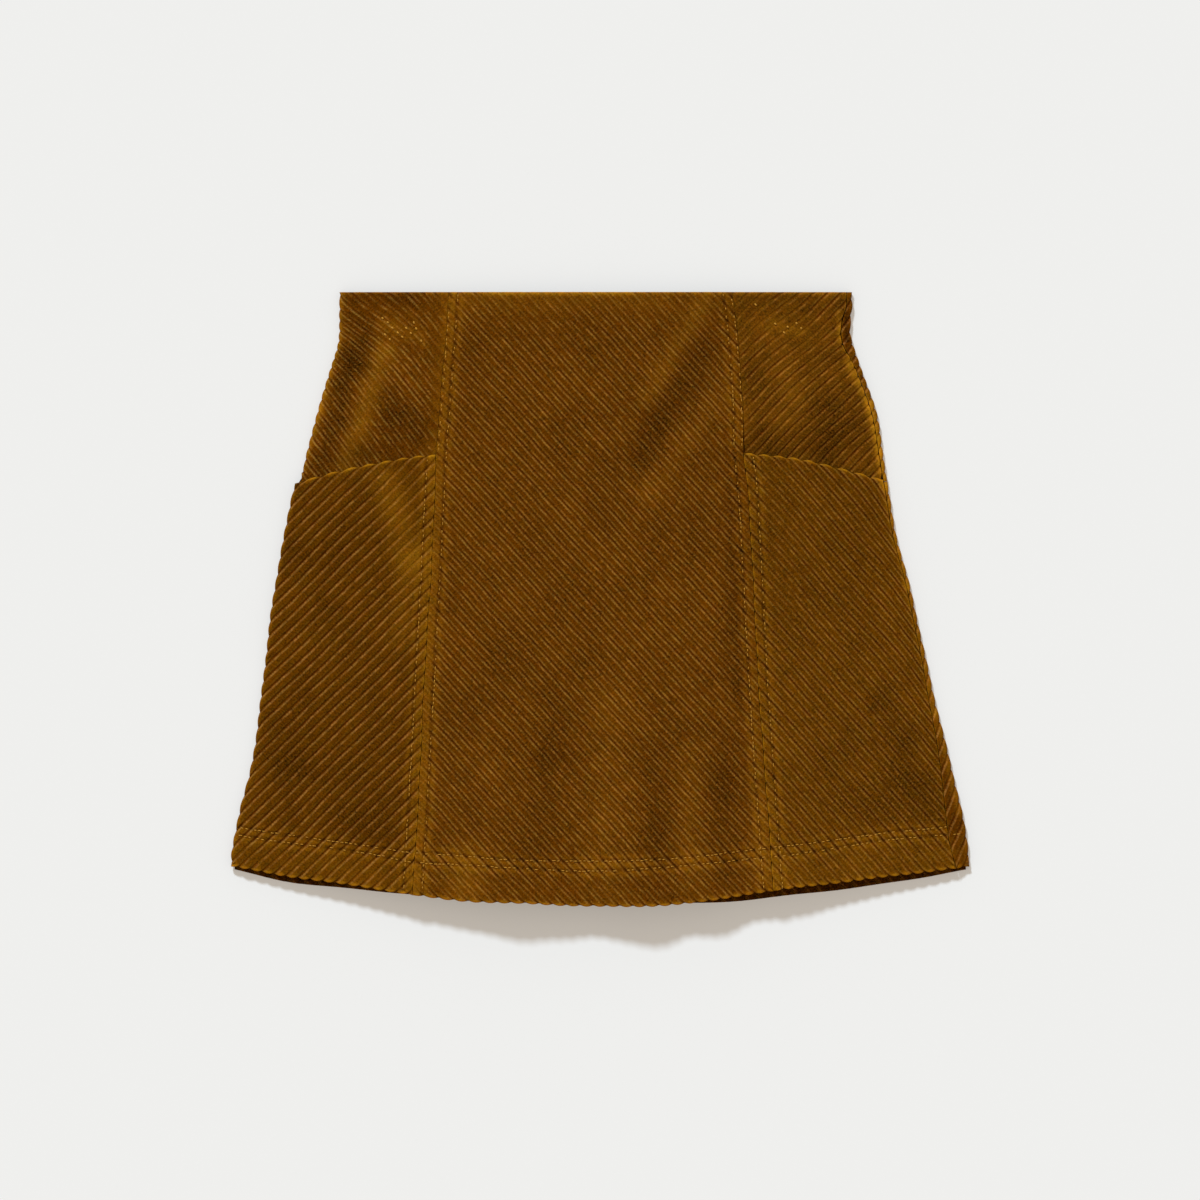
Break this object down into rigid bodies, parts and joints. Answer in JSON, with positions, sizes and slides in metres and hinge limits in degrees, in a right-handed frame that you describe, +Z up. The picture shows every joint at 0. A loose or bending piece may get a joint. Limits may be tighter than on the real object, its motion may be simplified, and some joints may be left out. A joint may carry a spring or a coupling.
{
  "type": "a-line skirt",
  "caption": "Short a-line skirt in very wide-wale corduroy, lying flat with its front up, with angled pockets that run down to the hem and a side zip.",
  "frame": {"origin": "under the middle of the garment as it lies, on the surface that its back rests on", "axes": "+X to the right as the front is looked at, which is the wearer's left; +Y from hem to waist; +Z up, out of the front"},
  "size_m": [0.488, 0.4058, 0.0254],
  "materials": {
    "front_corduroy": "wide-wale cotton corduroy, soft nap, tobacco brown",
    "yoke_corduroy": "wide-wale cotton corduroy, soft nap, tobacco brown",
    "pocket_corduroy": "wide-wale cotton corduroy, soft nap, tobacco brown",
    "back_corduroy": "wide-wale cotton corduroy, soft nap, tobacco brown",
    "zip_tape": "woven polyester tape, dark brown",
    "zip_slider": "brown lacquer, satin"
  },
  "bodies": {
    "root": {"front_centre_panel": "front_corduroy", "yoke_left": "yoke_corduroy", "yoke_right": "yoke_corduroy", "pocket_left": "pocket_corduroy", "pocket_right": "pocket_corduroy", "back_panel": "back_corduroy", "back_turned_margin": "back_corduroy", "side_zip_tape": "zip_tape", "side_zip_slider": "zip_slider"}
  },
  "joints": []
}
